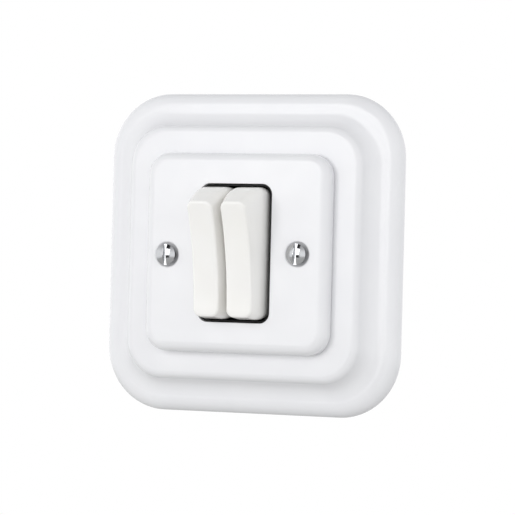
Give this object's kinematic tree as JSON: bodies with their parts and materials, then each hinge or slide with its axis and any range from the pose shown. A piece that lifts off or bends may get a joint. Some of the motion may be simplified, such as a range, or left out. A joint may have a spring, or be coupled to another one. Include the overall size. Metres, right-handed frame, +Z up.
{
  "type": "rocker wall switch",
  "caption": "Flush-mounted double rocker wall switch: glazed square frame, raised cover plate with slotted screws, two tall dished rockers and a boxed contact mechanism.",
  "frame": {"origin": "the switch's centre on the wall plane, which the frame's back rim and the mounting strap touch", "axes": "+X to the viewer's right, +Z up, -Y out of the wall towards the viewer, +Y into the wall"},
  "size_m": [0.1, 0.0533, 0.1],
  "materials": {
    "porcelain": "clear glossy glaze over white porcelain",
    "rocker_plastic": "moulded warm white, glossy",
    "nickel": "polished nickel plate",
    "zinc_plate": "bright zinc plate on pressed steel",
    "steel": "drawn spring steel",
    "brass": "pressed and turned brass, unlacquered",
    "silver": "contact silver, satin",
    "thermoset": "moulded black thermoset, satin"
  },
  "bodies": {
    "root": {"outer_frame": "porcelain", "cover_plate": "porcelain", "cover_screw_left": "nickel", "cover_screw_right": "nickel", "threaded_pillar_left": "brass", "threaded_pillar_right": "brass", "mounting_strap": "zinc_plate", "bearing_housing": "thermoset", "opening_trim": "thermoset", "base_housing": "thermoset", "rocker_pin_left": "steel", "rocker_pin_right": "steel", "common_rail": "brass", "fixed_contact_left": "brass", "fixed_contact_right": "brass", "fixed_tip_left": "silver", "fixed_tip_right": "silver", "terminal_clamp_common": "brass", "terminal_clamp_left": "brass", "terminal_clamp_right": "brass", "terminal_screw_common": "zinc_plate", "terminal_screw_left": "zinc_plate", "terminal_screw_right": "zinc_plate", "box_screw_top": "zinc_plate", "box_screw_bottom": "zinc_plate", "housing_screw_upper": "zinc_plate", "housing_screw_lower": "zinc_plate"},
    "rocker_body_left": {"rocker_left": "rocker_plastic", "plunger_spring_left": "steel"},
    "rocker_body_right": {"rocker_right": "rocker_plastic", "plunger_spring_right": "steel"},
    "plunger_body_left": {"plunger_left": "brass"},
    "plunger_body_right": {"plunger_right": "brass"},
    "bridge_body_left": {"contact_bridge_left": "brass", "moving_tip_left": "silver"},
    "bridge_body_right": {"contact_bridge_right": "brass", "moving_tip_right": "silver"}
  },
  "joints": [
    {"name": "rocker_hinge_left", "type": "hinge", "parent": "root", "child": "rocker_body_left", "pos_m": [-0.00602, -0.0173, 0], "axis": [-1, 0, 0], "range_deg": [0, 22.4]},
    {"name": "rocker_hinge_right", "type": "hinge", "parent": "root", "child": "rocker_body_right", "pos_m": [0.00518, -0.0173, 0], "axis": [-1, 0, 0], "range_deg": [0, 22.4]},
    {"name": "bridge_hinge_left", "type": "hinge", "parent": "root", "child": "bridge_body_left", "pos_m": [-0.00602, 0.0018, 0], "axis": [1, 0, 0], "range_deg": [0, 14]},
    {"name": "bridge_hinge_right", "type": "hinge", "parent": "root", "child": "bridge_body_right", "pos_m": [0.00518, 0.0018, 0], "axis": [1, 0, 0], "range_deg": [0, 14]},
    {"name": "plunger_slide_left", "type": "slide", "parent": "rocker_body_left", "child": "plunger_body_left", "axis": [0, -0.981, -0.1942], "range_m": [0, 0.0008], "stiffness_N_per_m": 200, "deforming": ["plunger_spring_left"]},
    {"name": "plunger_slide_right", "type": "slide", "parent": "rocker_body_right", "child": "plunger_body_right", "axis": [0, -0.981, -0.1942], "range_m": [0, 0.0008], "stiffness_N_per_m": 200, "deforming": ["plunger_spring_right"]}
  ],
  "couplings": [
    {"joint": "bridge_hinge_left", "follows": "rocker_hinge_left", "ratio": 0.625},
    {"joint": "bridge_hinge_right", "follows": "rocker_hinge_right", "ratio": 0.625}
  ]
}
